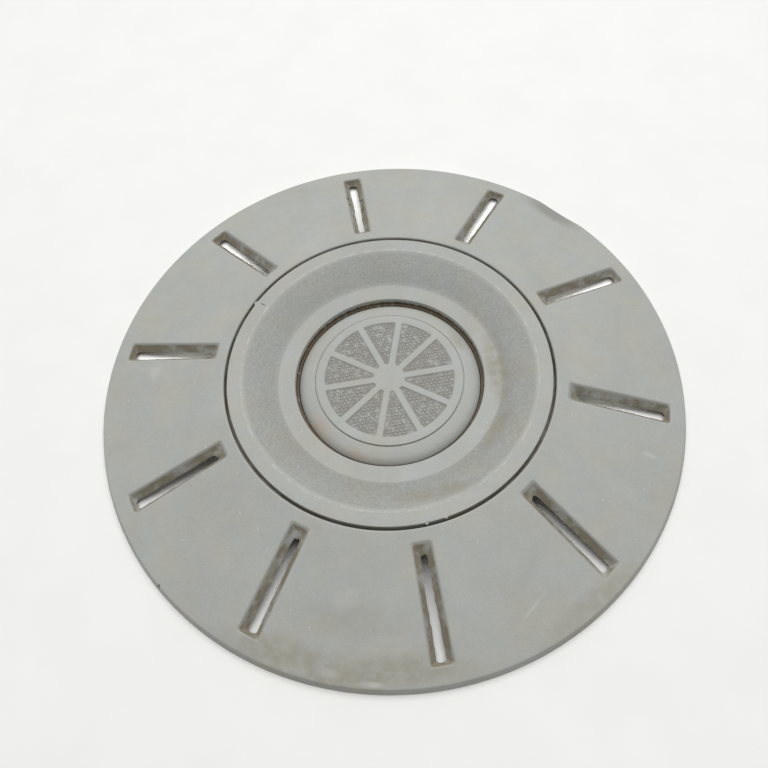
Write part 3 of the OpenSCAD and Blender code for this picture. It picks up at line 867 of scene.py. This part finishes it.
def ring_plastic():
    """Plastic of the slotted ring: olive dirt with painted shade along the near rim, brown dirt
    on the slots' walls and everything below the face, and painted shade in the scoop, in a
    notch of the rim and in pits on a slot's wall."""
    material, t, own, radius, height = start_material("ring_plastic")
    grain = use(t, "moulded grain", Vector=own, Colour=BASE_GREY, Cloud=0.22, Grain=0.26, Specks=0.7)
    colour = grain["Colour"]
    plane = t.math("MULTIPLY_ADD", t.math("SUBTRACT", EDGE_R, radius), FALL, RIM_H)
    below = t.math("SUBTRACT", plane, height)
    in_slots = t.step(radius, SLOT_OUT + 0.6, SLOT_OUT + 1, 1.0, 0.0)
    below = t.math("MULTIPLY", t.step(below, 0.2, 1.2), in_slots)
    dirt = t.math("MULTIPLY", below, 0.62)
    colour = use(t, "soil", Vector=own, Colour=colour, Soil=TAN, Amount=dirt, Patch=7.0)["Colour"]
    dirt = t.math("MULTIPLY", below, 0.22)
    colour = use(t, "soil", Vector=own, Colour=colour, Soil=BROWN, Amount=dirt, Patch=3.0)["Colour"]
    colour = lay_stains_and_shade(t, own, colour, RING_STAINS_AND_SHADE)
    finish_material(t, colour, grain["Height"], 0.62, 0.35, 0.12)
    return material


def cover_plastic():
    """Plastic of the dished cover: the sloped wall is rougher and darker, with painted light
    that makes it lighter on the far side and towards its top, a pale worn line follows the
    brink of the land, dirt lies in the recess, and painted shade marks two nicks at burrs on its edge."""
    material, t, own, radius, height = start_material("cover_plastic")
    grain = use(t, "moulded grain", Vector=own, Colour=BASE_GREY, Cloud=0.20, Grain=0.26, Specks=0.8)
    colour = grain["Colour"]
    rough_band = band(t, radius, DISH_R - 0.5, DISH_TOP_R - 0.8, 0.5)
    behind = t.add("SeparateXYZ", Vector=own).outputs["Y"]
    grit_and_shade = t.step(t.noise(own, 1.1, 3, 0.7), 0.3, 0.7, 0.74, 0.91)
    # Painted light and shade: the sloped wall is made lighter on the far side and towards its top.
    grit_and_shade = t.math("ADD", grit_and_shade, t.step(behind, -50 * MM, 50 * MM, -0.03, 0.06))
    grit_and_shade = t.math("ADD", grit_and_shade, t.step(radius, DISH_R, DISH_TOP_R, -0.02, 0.06))
    shade = t.add("CombineXYZ", X=grit_and_shade, Y=grit_and_shade, Z=grit_and_shade).outputs[0]
    darker = t.blend(1.0, colour, shade, "MULTIPLY")
    colour = t.blend(rough_band, colour, darker)
    worn = t.math("MULTIPLY", band(t, radius, DISH_TOP_R + 0.1, DISH_TOP_R + 1.1, 0.4), 0.52)
    colour = use(t, "soil", Vector=own, Colour=colour, Soil=PALE, Amount=worn, Patch=3.0)["Colour"]
    in_recess = t.math("MULTIPLY", t.step(height, RECESS_Z - 3.0, RECESS_Z - 0.3, 1.0, 0.0), 0.8)
    colour = use(t, "soil", Vector=own, Colour=colour, Soil=BROWN, Amount=in_recess, Patch=2.4)["Colour"]
    rough_height = t.math("MULTIPLY_ADD", t.math("MULTIPLY", rough_band, t.noise(own, 0.9, 2, 0.7)), 2.0,
                          grain["Height"])
    colour = lay_stains_and_shade(t, own, colour, COVER_STAINS_AND_SHADE)
    finish_material(t, colour, rough_height, 0.62, 0.4, 0.12)
    return material


def badge_plastic():
    """Plastic of the badge: smoother, and a darker grey in the sunk fields."""
    material, t, own, radius, height = start_material("badge_plastic")
    grain = use(t, "moulded grain", Vector=own, Colour=BASE_GREY, Cloud=0.20, Grain=0.20, Specks=0.3)
    colour = grain["Colour"]
    in_field = t.math("MULTIPLY", t.step(height, BADGE_TOP - FIELD_D - 0.05, BADGE_TOP - 0.1, 1.0, 0.0),
                      t.step(radius, DISC_R - 0.4, DISC_R - 0.1, 1.0, 0.0))
    colour = use(t, "soil", Vector=own, Colour=colour, Soil=(0.24, 0.235, 0.21, 1.0),
                 Amount=t.math("MULTIPLY", in_field, 0.7), Patch=2.0)["Colour"]
    colour = lay_stains_and_shade(t, own, colour, BADGE_STAINS)
    finish_material(t, colour, grain["Height"], 0.55, 0.3, 0.12)
    return material


def wire_steel():
    """Drawn spring wire: dull steel with faint lengthwise streaks and light rust."""
    material, t, own, radius, height = start_material("wire_steel")
    streak = t.noise(own, 1.2, 4, 0.7)
    colour = t.blend(t.step(streak, 0.3, 0.7), (0.46, 0.46, 0.47, 1.0), (0.56, 0.56, 0.56, 1.0))
    rust = use(t, "soil", Vector=own, Colour=colour, Soil=(0.2, 0.09, 0.04, 1.0), Amount=0.35, Patch=2.0)
    bump = t.add("Bump", Strength=0.25, Distance=0.05 * MM, Height=streak)
    shader = t.add("BsdfPrincipled", Base_Color=rust["Colour"], Normal=bump.outputs[0],
                   Roughness=t.step(streak, 0.2, 0.8, 0.34, 0.5),
                   Metallic=t.math("SUBTRACT", 1.0, rust["Mask"]))
    sink = t.add("OutputMaterial")
    t.tree.links.new(shader.outputs[0], sink.inputs["Surface"])
    return material


# Painted light on the floor under the cap: how much brighter the camera sees the floor
# # through the slots, as in an overexposed picture: in front of the axis, behind it, more at
# # the inner ends of the side slots, and the share left near the rim
GAIN_FRONT, GAIN_BACK, GAIN_SIDES, GAIN_RIM = 1.4, 2.1, 3.6, 0.6


def floor():
    """Wide pale floor just under the cap, on which its shadow falls; under the cap, painted light
    brightens it for the camera.
    """
    half = 2.5
    mesh = bpy.data.meshes.new("floor")
    corners = [(-half, -half, 0), (half, -half, 0), (half, half, 0), (-half, half, 0)]
    mesh.from_pydata(corners, [], [(0, 1, 2, 3)])
    piece = bpy.data.objects.new("floor", mesh)
    bpy.context.collection.objects.link(piece)
    material = bpy.data.materials.new("pale_floor")
    material.use_nodes = True
    t = Tree(material.node_tree)
    own = t.add("TexCoord").outputs["Object"]
    tone = t.blend(t.step(t.noise(own, 30, 4), 0.3, 0.7), (0.91, 0.91, 0.89, 1.0), (0.93, 0.93, 0.91, 1.0))
    radius = use(t, "cap places", Vector=own)["Radius"]
    parts = t.add("SeparateXYZ", Vector=own)
    inward = t.step(radius, 88, SLOT_OUT, 1.0, 0.0)
    gain = t.step(parts.outputs["Y"], -60 * MM, 10 * MM, GAIN_FRONT, GAIN_BACK)
    gain = t.math("MULTIPLY", gain, t.math("MULTIPLY_ADD", inward, 1 - GAIN_RIM, GAIN_RIM))
    sides = t.step(t.math("ABSOLUTE", parts.outputs["X"]), 40 * MM, 85 * MM)
    slanted = t.math("MULTIPLY_ADD", parts.outputs["X"], 0.3, parts.outputs["Y"])
    sides = t.math("MULTIPLY", sides, t.step(slanted, -50 * MM, -8 * MM))
    more = t.math("MULTIPLY_ADD", t.math("MULTIPLY", sides, inward), GAIN_SIDES - 1, 1.0)
    gain = t.math("MULTIPLY", gain, more)
    # Painted light, seen only by the camera and only under the cap.
    seen = t.math("MULTIPLY", t.step(radius, RIM_R - 6, RIM_R - 2, 1.0, 0.0),
                  t.add("LightPath").outputs["Is Camera Ray"])
    gain = t.math("MULTIPLY_ADD", seen, t.math("SUBTRACT", gain, 1.0), 1.0)
    bright = t.add("CombineXYZ", X=gain, Y=gain, Z=gain).outputs[0]
    shader = t.add("BsdfDiffuse", Color=t.blend(1.0, tone, bright, "MULTIPLY"))
    sink = t.add("OutputMaterial")
    t.tree.links.new(shader.outputs[0], sink.inputs["Surface"])
    mesh.materials.append(material)


def lights():
    """White surroundings, dimmer in front, and one wide soft lamp above and a little behind."""
    world = bpy.data.worlds.new("soft_room")
    bpy.context.scene.world = world
    world.use_nodes = True
    t = Tree(world.node_tree)
    way = t.add("SeparateXYZ", Vector=t.add("TexCoord").outputs["Generated"])
    strength = t.step(way.outputs["Y"], -0.7, 0.5, 0.17, 0.42)
    backing = t.add("Background", Color=(1.0, 1.0, 1.0, 1.0), Strength=strength)
    t.tree.links.new(backing.outputs[0], t.add("OutputWorld").inputs["Surface"])
    lamp = bpy.data.lights.new("wide_lamp", "AREA")
    lamp.shape = "DISK"
    lamp.size = 1.7
    lamp.energy = 20.5
    piece = bpy.data.objects.new("wide_lamp", lamp)
    bpy.context.collection.objects.link(piece)
    piece.location = Vector((0.116, 0.363, 1.451))
    piece.rotation_euler = piece.location.to_track_quat("Z", "Y").to_euler()


def camera():
    """Camera at the photograph's place: its eye, and its right, up and back directions."""
    right = np.array([0.9862, -0.1595, -0.0454])
    up = np.array([0.1620, 0.8673, 0.4707])
    back = np.array([-0.0357, -0.4716, 0.8811])
    eye = np.array([-2.48, 1.85, 0.89]) + back * 342.1
    data = bpy.data.cameras.new("camera")
    data.sensor_fit = "HORIZONTAL"
    data.sensor_width = 36
    data.lens = 35.77
    data.clip_start = 0.01
    piece = bpy.data.objects.new("camera", data)
    bpy.context.collection.objects.link(piece)
    matrix = np.eye(4)
    matrix[:3, :3] = np.stack([right, up, back], axis=1)
    matrix[:3, 3] = eye * MM
    piece.matrix_world = Matrix(matrix.tolist())
    bpy.context.scene.camera = piece


cap_places_group()
moulded_grain_group()
soil_group()
stain_group()
outer_ring(ring_plastic())
centre_cover(cover_plastic())
centre_badge(badge_plastic())
sprung_wire(wire_steel())
floor()
lights()
camera()
bpy.context.scene.view_settings.view_transform = "Standard"
